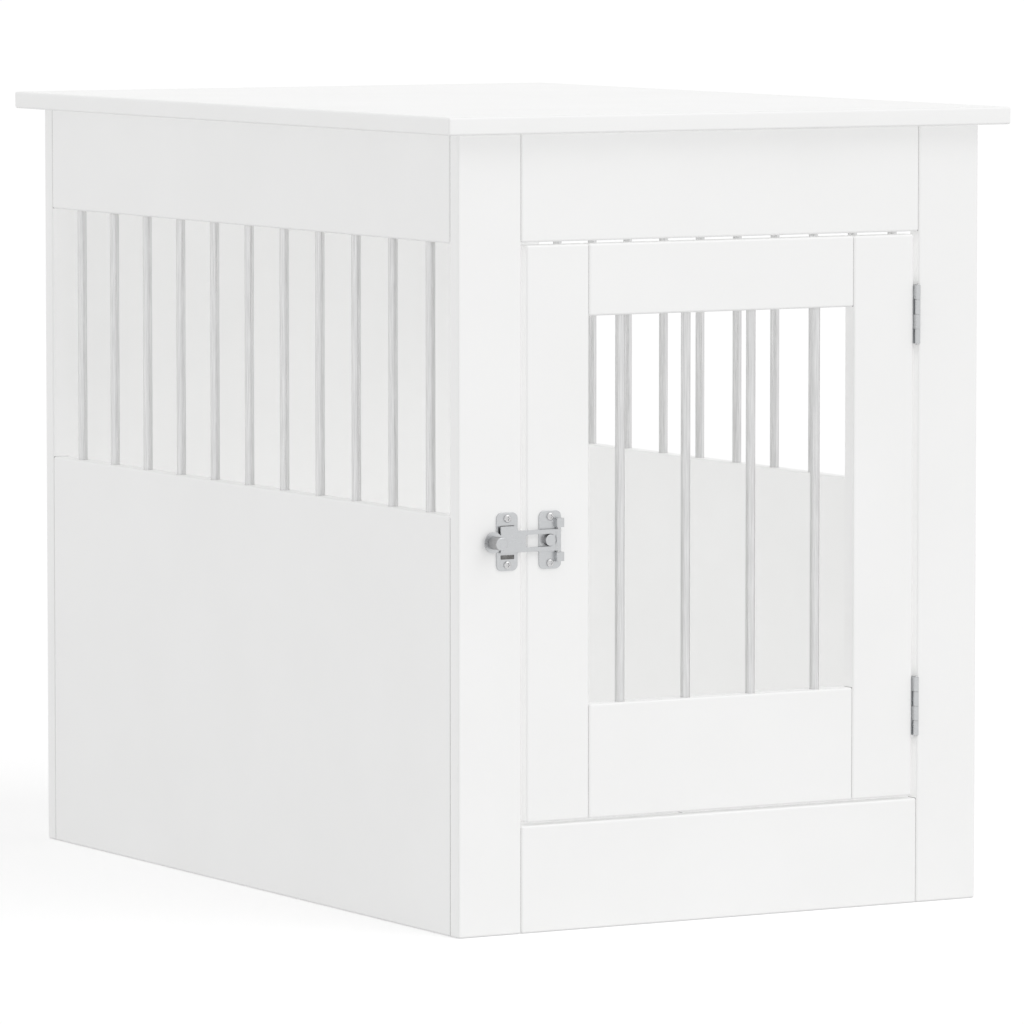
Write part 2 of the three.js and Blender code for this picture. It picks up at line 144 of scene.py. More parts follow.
# %% [markdown]
# Edges are chosen by where they lie. `open_edges` selects the edges that pass a test
# and opens the piece in edit mode; the two rounding tools then bevel them. One rounds
# the edges that run along a direction, such as the corners of a plate, and the other
# rounds the rim of a face. Places less than a HAIR apart count as the same.

# %% Rounding edges
HAIR = 0.02 * mm
nearly_parallel = 0.999


def open_edges(piece, wanted):
    """Opens a piece in edit mode with the edges selected whose two ends pass the test."""
    pick(piece)
    bpy.context.tool_settings.mesh_select_mode = (False, True, False)
    mesh = piece.data
    for parts in (mesh.vertices, mesh.edges, mesh.polygons):
        parts.foreach_set("select", [False] * len(parts))
    for edge in mesh.edges:
        edge.select = wanted(*(mesh.vertices[i].co for i in edge.vertices))
    bpy.ops.object.mode_set(mode="EDIT")


def bevel_selected(width, segments):
    """Bevels what is selected in edit mode, and leaves it."""
    bpy.ops.mesh.bevel(offset=width, segments=segments, affect="EDGES")
    bpy.ops.object.mode_set(mode="OBJECT")


def round_along(piece, direction, width, segments=6, where=lambda point: True):
    """Rounds the straight edges that run along a direction."""
    def wanted(a, b):
        run = (b - a).normalized()
        return abs(run.dot(direction)) > nearly_parallel and where((a + b) / 2)
    open_edges(piece, wanted)
    bevel_selected(width, segments)


def round_rim(piece, axis, place, width, segments=3):
    """Rounds the edges that lie in the plane where an axis has a value."""
    k = "XYZ".index(axis)
    open_edges(piece, lambda a, b: abs(a[k] - place) < HAIR and abs(b[k] - place) < HAIR)
    bevel_selected(width, segments)


def round_all(piece, width, segments=3):
    """Rounds every edge of a block."""
    open_edges(piece, lambda a, b: True)
    bevel_selected(width, segments)


# %% [markdown]
# Holes, slots and welded parts are made with Boolean modifiers, as a workshop would
# drill and weld them. The faces that a tool leaves take the tool's own material, so the
# wall of a hole can differ from the skin of the board. A Boolean leaves sharp edges,
# and `ease` rounds those with a bevel modifier that only takes edges sharper than an
# angle.

# %% Cutting, welding and easing
sharp_angle = math.radians(40)


def apply_boolean(piece, tool, operation):
    """Applies one Boolean of a tool to a piece, and clears the tool away."""
    pick(piece)
    bpy.ops.object.modifier_add(type="BOOLEAN")
    boolean = piece.modifiers[-1]
    boolean.operation = operation
    boolean.solver = "EXACT"
    boolean.material_mode = "TRANSFER"
    boolean.object = tool
    bpy.ops.object.modifier_apply(modifier=boolean.name)
    bpy.data.objects.remove(tool)
    return piece


def cut(piece, *tools):
    """Cuts tools out of a piece."""
    for tool in tools:
        apply_boolean(piece, tool, "DIFFERENCE")
    return piece


def weld(piece, *tools):
    """Joins other solids to a piece."""
    for tool in tools:
        apply_boolean(piece, tool, "UNION")
    return piece


def ease(piece, width, segments=2):
    """Rounds every sharp edge of a piece."""
    pick(piece)
    bpy.ops.object.modifier_add(type="BEVEL")
    bevel = piece.modifiers[-1]
    bevel.width = width
    bevel.segments = segments
    bevel.limit_method = "ANGLE"
    bevel.angle_limit = sharp_angle
    bpy.ops.object.modifier_apply(modifier=bevel.name)
    return piece


# %% [markdown]
# Turned pieces, such as the knob and the screws, start as a disc that is drawn out in
# steps. Each step moves the end face along the axis and then scales it to its new
# radius, so the profile is a list of radii and distances.

# %% Turning
def turned(name, profile, start, direction, facets=narrow_round):
    """A turned piece. The profile's points are (radius, distance from the start)."""
    start, direction = Vector(start), Vector(direction)
    radius, along = profile[0]
    centre = start + direction * along
    bpy.ops.object.select_all(action="DESELECT")
    bpy.ops.mesh.primitive_circle_add(
        vertices=facets,
        radius=radius,
        fill_type="NGON",
        location=centre,
        rotation=Z.rotation_difference(direction).to_euler(),
    )
    piece = settle(name)
    bpy.context.tool_settings.mesh_select_mode = (False, False, True)
    bpy.ops.object.mode_set(mode="EDIT")
    bpy.ops.mesh.select_all(action="SELECT")
    for next_radius, next_along in profile[1:]:
        step = direction * (next_along - along)
        bpy.ops.mesh.extrude_region_move(TRANSFORM_OT_translate={"value": step})
        centre = start + direction * next_along
        size = next_radius / radius
        bpy.ops.transform.resize(value=(size, size, size), center_override=centre)
        radius, along = next_radius, next_along
    bpy.ops.mesh.select_all(action="SELECT")
    bpy.ops.mesh.normals_make_consistent(inside=False)
    bpy.ops.object.mode_set(mode="OBJECT")
    return piece


def quarter(radius, inner, along, rise, steps=5):
    """Profile points of a rounded rim, from (radius, along) in to `inner`, `rise` on."""
    return [
        (inner + (radius - inner) * math.cos(k / steps * math.pi / 2),
         along + rise * math.sin(k / steps * math.pi / 2))
        for k in range(steps + 1)
    ]


def mirrored(profile):
    """The same points on the other side of the start, in reverse order."""
    return [(radius, -along) for radius, along in reversed(profile)]


# %% [markdown]
# A finished piece gets smooth shading with weighted normals, so that wide faces stay
# flat and small radii shine. Then it takes its material, rides on its body, and stands
# for its node. Repeated pieces are modelled once and copied, each with its own mesh.

# %% Finishing and copying
made = []


def smooth(piece, angle=35):
    """Smooth shading that keeps the edges sharper than an angle."""
    pick(piece)
    bpy.ops.object.shade_smooth_by_angle(angle=math.radians(angle))
    bpy.ops.object.modifier_add(type="WEIGHTED_NORMAL")
    weighted = piece.modifiers[-1]
    weighted.keep_sharp = True
    bpy.ops.object.modifier_apply(modifier=weighted.name)
    return piece


def coat(piece, finish):
    """Adds a material to a piece. A board is coated before it is cut."""
    piece.data.materials.append(materials[finish])
    return piece


def dress(piece, body, finish):
    """Gives a piece its body, and its material if it has none yet.

    A Boolean leaves an empty material slot on an uncoated piece, so that is cleared.
    """
    if not any(piece.data.materials):
        piece.data.materials.clear()
        coat(piece, finish)
    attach(piece, body)
    made.append(piece)
    return piece


def stand_for(piece, node):
    """Puts a piece in the place of its node."""
    piece.name = piece.data.name = node + "_finished"
    dress(piece, body_of[node], finish_of[node])
    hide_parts(node)
    return piece


def copy_of(piece, name, offset):
    """A copy of a piece with its own mesh, moved by an offset."""
    pick(piece)
    bpy.ops.object.duplicate(linked=False)
    bpy.ops.transform.translate(value=offset)
    return settle(name)


def middle(node):
    """The middle of a node's box."""
    low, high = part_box(node)
    return (low + high) / 2


# %% [markdown]
# ## Surfaces
# Two effects are shared by several finishes, so each is a node group. *Fine texture* is
# the small even relief of pressed laminate or tumbled metal. *Drawn lines* are the long
# scratches of brushed or drawn metal: it is the same noise, read through coordinates
# that the material has stretched along the grain.

# %% Shared node groups
def new_group(name, inputs, outputs):
    group = bpy.data.node_groups.new(name, "ShaderNodeTree")
    for label, kind, value in inputs:
        socket = group.interface.new_socket(label, in_out="INPUT", socket_type=kind)
        if value is not None:
            socket.default_value = value
    for label, kind in outputs:
        group.interface.new_socket(label, in_out="OUTPUT", socket_type=kind)
    return group, group.nodes.new("NodeGroupInput"), group.nodes.new("NodeGroupOutput")


def noise(tree, vector, scale, detail, roughness=0.5):
    node = tree.nodes.new("ShaderNodeTexNoise")
    node.inputs["Scale"].default_value = scale
    node.inputs["Detail"].default_value = detail
    node.inputs["Roughness"].default_value = roughness
    tree.links.new(vector, node.inputs["Vector"])
    return node


def ranged(tree, value, from_low, from_high, to_low, to_high):
    """A value mapped from one range to another, kept inside it."""
    node = tree.nodes.new("ShaderNodeMapRange")
    limits = ("From Min", "From Max", "To Min", "To Max")
    for label, limit in zip(limits, (from_low, from_high, to_low, to_high)):
        node.inputs[label].default_value = limit
    tree.links.new(value, node.inputs["Value"])
    return node.outputs["Result"]


def mixed(tree, mask, first, second):
    """Two colours mixed by a mask."""
    node = tree.nodes.new("ShaderNodeMix")
    node.data_type = "RGBA"
    node.inputs["A"].default_value = (*first, 1)
    node.inputs["B"].default_value = (*second, 1)
    tree.links.new(mask, node.inputs["Factor"])
    return node.outputs["Result"]


def make_fine_texture():
    group, given, result = new_group(
        "fine_texture",
        [("Vector", "NodeSocketVector", None), ("Scale", "NodeSocketFloat", 1000.0)],
        [("Mask", "NodeSocketFloat"), ("Cloud", "NodeSocketFloat")],
    )
    grain = noise(group, given.outputs["Vector"], 1000, 2.0)
    group.links.new(given.outputs["Scale"], grain.inputs["Scale"])
    cloud = noise(group, given.outputs["Vector"], 9, 3.0)
    mask = ranged(group, grain.outputs["Fac"], 0.35, 0.65, 0, 1)
    soft = ranged(group, cloud.outputs["Fac"], 0.3, 0.7, 0, 1)
    group.links.new(mask, result.inputs["Mask"])
    group.links.new(soft, result.inputs["Cloud"])
    return group


def make_drawn_lines():
    group, given, result = new_group(
        "drawn_lines",
        [("Vector", "NodeSocketVector", None)],
        [("Mask", "NodeSocketFloat"), ("Bands", "NodeSocketFloat")],
    )
    lines = noise(group, given.outputs["Vector"], 2.2, 3.0, 0.6)
    bands = noise(group, given.outputs["Vector"], 0.6, 1.0)
    mask = ranged(group, lines.outputs["Fac"], 0.3, 0.7, 0, 1)
    wide = ranged(group, bands.outputs["Fac"], 0.3, 0.7, 0, 1)
    group.links.new(mask, result.inputs["Mask"])
    group.links.new(wide, result.inputs["Bands"])
    return group


fine_texture = make_fine_texture()
drawn_lines = make_drawn_lines()
print("node groups:", fine_texture.name, drawn_lines.name)

# %% [markdown]
# Every material starts in the same way: a Principled shader and the object coordinates
# of the piece, which are the table's own metres. `place_group` adds a shared effect and
# stretches its coordinates, and its masks then vary the colour, the roughness and the
# relief.

# %% Starting a material
materials = {}


def new_material(name, color, roughness, metallic):
    """A material with its shader, its node tree and the object coordinates."""
    material = bpy.data.materials.new(name)
    material.use_nodes = True
    tree = material.node_tree
    shader = tree.nodes["Principled BSDF"]
    shader.inputs["Base Color"].default_value = (*color, 1)
    shader.inputs["Roughness"].default_value = roughness
    shader.inputs["Metallic"].default_value = metallic
    material.diffuse_color = (*color, 1)
    coordinates = tree.nodes.new("ShaderNodeTexCoord").outputs["Object"]
    materials[name] = material
    return tree, shader, coordinates


def place_group(tree, group, coordinates, stretch=(1, 1, 1)):
    """A shared effect, with its coordinates stretched."""
    mapping = tree.nodes.new("ShaderNodeMapping")
    mapping.inputs["Scale"].default_value = stretch
    tree.links.new(coordinates, mapping.inputs["Vector"])
    node = tree.nodes.new("ShaderNodeGroup")
    node.node_tree = group
    tree.links.new(mapping.outputs["Vector"], node.inputs["Vector"])
    return node


def vary_color(tree, shader, mask, first, second):
    """Lets a mask mix the base colour from two colours."""
    tree.links.new(mixed(tree, mask, first, second), shader.inputs["Base Color"])


def vary_roughness(tree, shader, mask, low, high):
    """Lets a mask move the roughness between two values."""
    tree.links.new(ranged(tree, mask, 0, 1, low, high), shader.inputs["Roughness"])


def add_bump(tree, shader, height, relief, strength):
    """Turns a mask into relief of a real height."""
    bump = tree.nodes.new("ShaderNodeBump")
    bump.inputs["Distance"].default_value = relief
    bump.inputs["Strength"].default_value = strength
    tree.links.new(height, bump.inputs["Height"])
    tree.links.new(bump.outputs["Normal"], shader.inputs["Normal"])


# %% [markdown]
# The boards are faced with white melamine, which is a satin film pressed over a steel
# plate with a fine pearl relief. So the colour hardly changes, the relief is a few
# hundredths of a millimetre, and what shows most is how evenly it takes the light.

# %% White board
def make_white_board():
    tree, shader, coordinates = new_material("white_board", (0.88, 0.88, 0.876), 0.42, 0)
    pearl = place_group(tree, fine_texture, coordinates)
    pearl.inputs["Scale"].default_value = 1400
    vary_color(tree, shader, pearl.outputs["Cloud"], (0.872, 0.872, 0.868), (0.888, 0.888, 0.885))
    vary_roughness(tree, shader, pearl.outputs["Mask"], 0.38, 0.5)
    add_bump(tree, shader, pearl.outputs["Mask"], 0.02 * mm, 0.35)


make_white_board()
print("finishes so far:", *materials)

# %% [markdown]
# Under the film a board is pressed chips, which show wherever it is bored or cut: in
# the sockets, in the pockets behind the latch and in the hairline seams. The chips are
# a few millimetres long and dull. This dark, neutral grey is the chips' own colour in
# the sockets, but in the seams and the pockets it is also painted shade, because the fill
# lamps throw no shadow there.

# %% Raw board and painted shade
def make_raw_board_and_shade():
    tree, shader, coordinates = new_material("raw_board_and_shade", (0.37, 0.367, 0.362), 0.9, 0)
    chips = place_group(tree, fine_texture, coordinates)
    chips.inputs["Scale"].default_value = 450
    vary_color(tree, shader, chips.outputs["Mask"], (0.31, 0.307, 0.302), (0.44, 0.437, 0.432))
    vary_roughness(tree, shader, chips.outputs["Cloud"], 0.85, 0.95)
    add_bump(tree, shader, chips.outputs["Mask"], 0.1 * mm, 0.6)


make_raw_board_and_shade()
print("finishes so far:", *materials)

# %% [markdown]
# The bars are drawn steel wire: bright metal with grain along its length. The grain
# comes from the drawn-lines group, with its coordinates squeezed along Z.

# %% Bar steel
def make_bar_steel():
    tree, shader, coordinates = new_material("bar_steel", (0.69, 0.69, 0.69), 0.34, 1)
    shader.inputs["Specular Tint"].default_value = (0.8, 0.8, 0.8, 1)
    grain = place_group(tree, drawn_lines, coordinates, (700, 700, 14))
    vary_color(tree, shader, grain.outputs["Mask"], (0.59, 0.59, 0.59), (0.78, 0.78, 0.78))
    vary_roughness(tree, shader, grain.outputs["Bands"], 0.26, 0.42)
    add_bump(tree, shader, grain.outputs["Mask"], 0.03 * mm, 0.5)


make_bar_steel()
print("finishes so far:", *materials)

# %% [markdown]
# The hinge leaves and the latch are stamped from nickel-plated strip and tumbled
# smooth. Their grain is short and faint and runs across the strip, over a satin sheen
# that varies a little from place to place. The flanks of the knob and the stud are left
# as the lathe cut them, with fine rings round the axis. Their steel is made darker than
# the plates' as painted shade.

# %% Plate, screw and cam metal
def make_plate_steel():
    tree, shader, coordinates = new_material("plate_steel", (0.575, 0.585, 0.595), 0.3, 1)
    grain = place_group(tree, drawn_lines, coordinates, (120, 900, 900))
    vary_color(tree, shader, grain.outputs["Mask"], (0.555, 0.565, 0.575), (0.595, 0.605, 0.615))
    vary_roughness(tree, shader, grain.outputs["Bands"], 0.26, 0.38)
    add_bump(tree, shader, grain.outputs["Mask"], 0.01 * mm, 0.4)


def make_turned_steel_painted_shade():
    tree, shader, coordinates = new_material("turned_steel_painted_shade", (0.4, 0.4, 0.405), 0.4, 1)
    grain = place_group(tree, drawn_lines, coordinates, (300, 2500, 300))
    vary_color(tree, shader, grain.outputs["Mask"], (0.34, 0.34, 0.345), (0.46, 0.46, 0.465))
    vary_roughness(tree, shader, grain.outputs["Bands"], 0.34, 0.46)
    add_bump(tree, shader, grain.outputs["Mask"], 0.02 * mm, 0.5)


def make_screw_steel():
    tree, shader, coordinates = new_material("screw_steel", (0.62, 0.62, 0.625), 0.22, 1)
    tumbled = place_group(tree, fine_texture, coordinates)
    tumbled.inputs["Scale"].default_value = 2500
    vary_color(tree, shader, tumbled.outputs["Mask"], (0.57, 0.57, 0.58), (0.67, 0.67, 0.67))
    vary_roughness(tree, shader, tumbled.outputs["Mask"], 0.18, 0.28)
    add_bump(tree, shader, tumbled.outputs["Mask"], 0.01 * mm, 0.3)


def make_cam_zinc():
    tree, shader, coordinates = new_material("cam_zinc", (0.4, 0.4, 0.4), 0.5, 1)
    cast = place_group(tree, fine_texture, coordinates)
    cast.inputs["Scale"].default_value = 1800
    vary_color(tree, shader, cast.outputs["Mask"], (0.34, 0.34, 0.345), (0.46, 0.46, 0.46))
    vary_roughness(tree, shader, cast.outputs["Mask"], 0.42, 0.58)
    add_bump(tree, shader, cast.outputs["Mask"], 0.05 * mm, 0.6)


make_plate_steel()
make_turned_steel_painted_shade()
make_screw_steel()
make_cam_zinc()
print("finishes:", sorted(materials))

# %% [markdown]
# ## Boards
# A board is a block with eased edges. Two eased edges that meet leave the fine
# V-groove that shows where the stiles join the rails. The hairline at its bottom is raw
# board, whose dark colour is partly painted shade, because the fill lamps throw none
# into the groove. To get it, every board is cut back a hair wherever another one meets
# it. Such a place is found from the imported model: two boards' boxes that all but touch,
# to the side or to the back. The groove could be painted on, but a real one catches the
# light from every side. As in the photograph, boards that meet side by side have a
# finer seam (the first depth) than boards that meet front to back (the second).

# %% Seams
edge_radius = 2 * mm
seam_depths = (0.15 * mm, 0.4 * mm)
touching = 0.2 * mm
over = 1.0 * mm
boards = [node for node, finish in finish_of.items() if finish == "white_board"]
print("boards:", len(boards))


def seam_tool(node, other):
    """A block that cuts a board back where another one meets it, or None."""
    low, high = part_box(node)
    other_low, other_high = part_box(other)
    for k in (0, 1):
        start = [max(low[j], other_low[j]) for j in range(3)]
        end = [min(high[j], other_high[j]) for j in range(3)]
        if any(end[j] - start[j] < over for j in range(3) if j != k):
            continue
        for j in range(3):
            start[j] -= over if start[j] < low[j] + HAIR else 0
            end[j] += over if end[j] > high[j] - HAIR else 0
        if abs(other_low[k] - high[k]) < touching:
            start[k], end[k] = high[k] - seam_depths[k], high[k] + over
        elif abs(low[k] - other_high[k]) < touching:
            start[k], end[k] = low[k] - over, low[k] + seam_depths[k]
        else:
            continue
        # The seam's cut faces take the dark raw board colour, which paints the shade in the groove.
        return coat(block("seam", start, end), "raw_board_and_shade")
    return None


# %% [markdown]
# The bars stand in sockets bored a little wider than they are, so a hair of shadow runs
# round each foot. The sockets of a board are cut in one go, from one tool made of all
# its bores.

# %% Boards with sockets
socket_spare = 0.3 * mm


def make_board(node, bores=()):
    """A board with eased edges, cut back at its seams and bored."""
    low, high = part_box(node)
    board = coat(block(node, low, high), "white_board")
    round_all(board, edge_radius)
    seams = [seam_tool(node, other) for other in boards if other != node]
    cut(board, *filter(None, seams))
    if bores:
        pick(*bores)
        bpy.ops.object.join()
        # The bores' walls take raw board: the chips' own colour, and in the pockets behind the keeper plate also
        # painted shade.
        cut(board, coat(bpy.context.active_object, "raw_board_and_shade"))
    stand_for(smooth(board), node)


def bar_bores(bars, board):
    """The sockets of these bars in the board below or above them."""
    board_low, board_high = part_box(board)
    bores = []
    for node in bars:
        low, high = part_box(node)
        centre = (low + high) / 2
        radius = (high.x - low.x) / 2 + socket_spare
        if centre.z > board_high.z:
            bottom, top = low.z - socket_spare, board_high.z + over
        else:
            bottom, top = board_low.z - over, high.z + socket_spare
        bores.append(rod("bore", radius, (centre.x, centre.y, bottom),
                         (centre.x, centre.y, top), narrow_round))
    return bores


side_bars = {
    side: sorted(node for node in body_of if node.startswith(side + "_bar_"))
    for side in ("left", "right")
}
door_bars = sorted(node for node in body_of if node.startswith("door_bar_"))

for node in ("front_top_rail", "front_bottom_rail", "back_panel", "floor_panel"):
    make_board(node)
for side, bars in side_bars.items():
    make_board(side + "_lower_panel", bar_bores(bars, side + "_lower_panel"))
for node in ("door_top_rail", "door_bottom_rail"):
    make_board(node, bar_bores(door_bars, node))
print("boards so far:", len(made))

# %% [markdown]
# Four cam fittings pull the table top down on the side panels. Each is a die-cast disc
# with a cross recess, let into the inner face of the panel, and a bolt that reaches up
# into the top. They show when the door is open, so they and their bores are real.

# %% Cams, their panels and the table top
cam_radius = 7.5 * mm
cam_spare = 0.3 * mm
cam_bolt_radius = 3 * mm
cam_rim = 0.5 * mm
cam_recess = 1.6 * mm
cam_recess_length = 7 * mm
cam_recess_width = 1.5 * mm


def cam_places(side):
    """The face point, the inward end and the bolt's top of each cam of a side."""
    bar_x = middle(side + "_bar_01").x
    places = {}
    for end in ("front", "back"):
        node = f"{side}_{end}_cam"
        low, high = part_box(node)
        face, bottom = (high.x, low.x) if side == "left" else (low.x, high.x)
        y, z = (low.y + high.y) / 2, low.z + cam_radius
        places[node] = (Vector((face, y, z)), Vector((bottom, y, z)),
                        Vector((bar_x, y, high.z)))
    return places


def cam_bore(face, bottom, bolt_top):
    """The bore of a cam and its bolt, a little wider than they are."""
    inward = (bottom - face).normalized()
    disc = rod("bore", cam_radius + cam_spare, face - inward * over, bottom + inward * cam_spare)
    foot = Vector((bolt_top.x, bolt_top.y, face.z))
    bolt = rod("bore", cam_bolt_radius + cam_spare, foot, bolt_top + Z * cam_spare,
               narrow_round)
    return weld(disc, bolt)


def cut_cross(piece, top, inward, length, width, depth):
    """Cuts a cross recess into the end face of a round piece."""
    across = [axis for axis in (X, Y, Z) if not round(axis.dot(inward))]
    for along, beside in (across, across[::-1]):
        half = along * length / 2 + beside * width / 2
        ends = (top - half - inward * over, top + half + inward * depth)
        cut(piece, block("recess", Vector(map(min, *ends)), Vector(map(max, *ends))))


def make_cam(node, face, bottom, bolt_top):
    cam = rod("cam", cam_radius, face, bottom)
    round_rim(cam, "X", face.x, cam_rim)
    inward = (bottom - face).normalized()
    cut_cross(cam, face, inward, cam_recess_length, cam_recess_width, cam_recess)
    foot = Vector((bolt_top.x, bolt_top.y, face.z))
    weld(cam, rod("bolt", cam_bolt_radius, foot, bolt_top, narrow_round))
    stand_for(smooth(cam), node)


all_cams = {side: cam_places(side) for side in side_bars}
for side, places in all_cams.items():
    panel = side + "_top_panel"
    cam_bores = [cam_bore(*place) for place in places.values()]
    make_board(panel, bar_bores(side_bars[side], panel) + cam_bores)
    for node, place in places.items():
        make_cam(node, *place)
make_board("table_top", [cam_bore(*place) for places in all_cams.values()
                         for place in places.values()])
print("cams:", sum(len(places) for places in all_cams.values()))

# %% [markdown]
# ## Bars
# A bar is a length of round steel with a small chamfer at each cut end. A curve with a
# round bevel could draw it too, but a cylinder has closed ends that can be chamfered.
# One is modelled for the sides and one for the door, and the rest are copies.

# %% Bars
bar_facets = 40
bar_chamfer = 0.4 * mm


def make_bars(nodes):
    """Models the first of some equal bars and copies it to the others."""
    low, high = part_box(nodes[0])
    centre = (low + high) / 2
    radius = (high.x - low.x) / 2
    first = rod("bar", radius, (centre.x, centre.y, low.z), (centre.x, centre.y, high.z),
                bar_facets)
    for end in (low.z, high.z):
        round_rim(first, "Z", end, bar_chamfer, 1)
    smooth(first)
    for node in nodes[1:]:
        stand_for(copy_of(first, "bar", middle(node) - centre), node)
    stand_for(first, nodes[0])


for bars in (side_bars["left"] + side_bars["right"], door_bars):
    make_bars(bars)
print("bars:", sum(len(bars) for bars in side_bars.values()) + len(door_bars))

# %% [markdown]
# The four stiles have holes in their edges or faces: pilot holes for the screws of the
# hinges and the latch, and two pockets behind the slots of the keeper plate. The
# pockets matter most, because the lower slot is open: the raw board on the pocket's
# walls paints it dark, as shade.

# %% Hardware places
hinge_axis = joint_at["door_hinge"]
latch_axis = joint_at["latch_swing"]
stile_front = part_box("front_right_stile")[0].y
clearance = 0.3 * mm
shank_radius = 1.5 * mm
pilot_depth = 12 * mm
pilot_facets = 20
through = 3 * mm
round_head_height = 1.6 * mm

hair_joint = 0.1 * mm
leaf_thickness = 1.5 * mm
leaf_screw_spacing = 28 * mm
leaf_screw_inset = 7.5 * mm


def leaf_faces(node):
    """The X of a leaf's back and open faces, and +1 or -1 toward the gap."""
    if body_of[node] == "door":
        toward, board_x = 1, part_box("door_right_stile")[1].x
    else:
        toward, board_x = -1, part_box("front_right_stile")[0].x
    back = board_x + toward * hair_joint
    return back, back + toward * leaf_thickness, toward


def leaf_screw_seats(node):
    """The places on a leaf's open face where its two screws sit."""
    _, face, _ = leaf_faces(node)
    y = stile_front + leaf_screw_inset
    return [
        Vector((face, y, middle(node).z + end * leaf_screw_spacing / 2)) for end in (-1, 1)
    ]


def screw_seat(node):
    """The place on a latch plate's front where one of its screws sits."""
    low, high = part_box(node)
    return Vector(((low.x + high.x) / 2, low.y + round_head_height, (low.z + high.z) / 2))


def plate_screw_seats(body):
    """The seats of both screws of the latch plate on a body."""
    return [screw_seat(node) for node in plate_screws if body_of[node] == body]


leaves = sorted(node for node in body_of if node.endswith("_leaf"))
plate_screws = sorted(node for node in body_of if "_screw_" in node)
print("leaves:", leaves)
print("plate screws:", plate_screws)

# %% [markdown]
# The keeper plate has two slots. The strap's lip reaches into the upper one, and the
# lower one is open. The stile behind needs the same slots a little wider, as pockets,
# so one helper makes the tools for both.

# %% Slots of the keeper plate
lip_rise = 13 * mm
strap_thickness = 1.5 * mm
slot_clearance = 0.5 * mm
keeper_slot_width = 13 * mm
lower_slot_drop = 12.8 * mm
lower_slot_height = 3.6 * mm
slot_corner = 0.6 * mm
pocket_depth = 6 * mm
pocket_spare = 0.5 * mm

lip_top = latch_axis.z + lip_rise
lip_bottom = lip_top - strap_thickness
lower_slot_z = latch_axis.z - lower_slot_drop
keeper_slots = [
    (lip_bottom - slot_clearance, lip_top + slot_clearance),
    (lower_slot_z - lower_slot_height / 2, lower_slot_z + lower_slot_height / 2),
]


def keeper_slot_tools(front, back, spare):
    """Blocks through both slots of the keeper plate."""
    half = keeper_slot_width / 2 + spare
    x = middle("latch_keeper_plate").x
    tools = []
    for low, high in keeper_slots:
        tool = block("slot", (x - half, front, low - spare), (x + half, back, high + spare))
        round_along(tool, Y, slot_corner)
        tools.append(tool)
    return tools


print("keeper slots:", len(keeper_slots))

# %% [markdown]
# The stiles are made like the other boards. Their holes are handed over as tools, as a
# machine would drill them before the fittings go on.

# %% Stiles
def pilot_holes(seats, inward):
    """Pilot holes behind the seats of screws."""
    return [rod("pilot", shank_radius + clearance, seat, seat + inward * pilot_depth,
                pilot_facets) for seat in seats]


def hinge_pilots(body, inward):
    """Pilot holes behind all the leaves of a body."""
    seats = [seat for node in leaves if body_of[node] == body
             for seat in leaf_screw_seats(node)]
    return pilot_holes(seats, inward)


# The pockets' walls get the dark raw board, which paints the open lower slot dark as shade.
pockets = keeper_slot_tools(stile_front - over, stile_front + pocket_depth, pocket_spare)
make_board("front_left_stile", pockets + pilot_holes(plate_screw_seats("cabinet"), Y))
make_board("front_right_stile", hinge_pilots("cabinet", X))
make_board("door_left_stile", pilot_holes(plate_screw_seats("door"), Y))
make_board("door_right_stile", hinge_pilots("door", -X))
print("pieces so far:", len(made))

# %% [markdown]
# ## Screws
# A screw is turned from its tip to its crown, and its cross recess is cut with two
# blades. The latch has round-headed screws that stand on the plates. The hinges have
# flat-headed ones that sink into the leaves, because the leaves nearly meet when the
# door is shut. The hinge screws have no node of their own: they ride on the body that
# their leaf is screwed to.

# %% Screws
tip_radius = 0.3 * mm
tip_length = 3 * mm
round_head_radius = 3.4 * mm
round_head_rim = 0.5 * mm
round_head_flat = 1.2 * mm
flat_head_radius = 3.1 * mm
flat_head_depth = 1.25 * mm
flat_head_rim = 0.1 * mm
plate_screw_length = 11 * mm
leaf_screw_length = 10 * mm
recess_length = 3.6 * mm
recess_width = 0.8 * mm
recess_depth = 0.9 * mm


def make_screw(name, seat, inward, head, length):
    """A screw whose head is a list of (radius, height above the seat) points."""
    profile = [(tip_radius, -length), (shank_radius, tip_length - length), *head]
    screw = turned(name, profile, seat, -inward)
    top = seat - inward * head[-1][1]
    cut_cross(screw, top, inward, recess_length, recess_width, recess_depth)
    return smooth(screw, 40)


def make_plate_screws():
    head = [(shank_radius, 0), (round_head_radius, 0)]
    head += quarter(round_head_radius, round_head_flat, round_head_rim,
                    round_head_height - round_head_rim)
    seats = [screw_seat(node) for node in plate_screws]
    first = make_screw("screw", seats[0], Y, head, plate_screw_length)
    for node, seat in zip(plate_screws[1:], seats[1:]):
        stand_for(copy_of(first, "screw", seat - seats[0]), node)
    stand_for(first, plate_screws[0])


def make_leaf_screws():
    head = [(shank_radius, -flat_head_depth), (flat_head_radius, -flat_head_rim),
            (flat_head_radius - flat_head_rim, 0)]
    for node in leaves:
        body = body_of[node]
        _, _, toward = leaf_faces(node)
        for end, seat in zip(("lower", "upper"), leaf_screw_seats(node)):
            screw = make_screw("screw", seat, -toward * X, head, leaf_screw_length)
            screw.name = screw.data.name = f"{node}_{end}_screw"
            dress(screw, body, "screw_steel")


make_plate_screws()
make_leaf_screws()
print("pieces so far:", len(made))

# %% [markdown]
# ## Butt hinges
# A leaf is a strip of steel with round corners, whose front edge is curled into every
# second knuckle. A spin could curl it, but a straight knuckle is just a rod welded to
# the strip. Where the curl closes on the strip it leaves a fine slit. The other
# leaf's knuckles fit in its gaps, its screw holes are countersunk, and a pin with two
# domed heads holds the pair together.

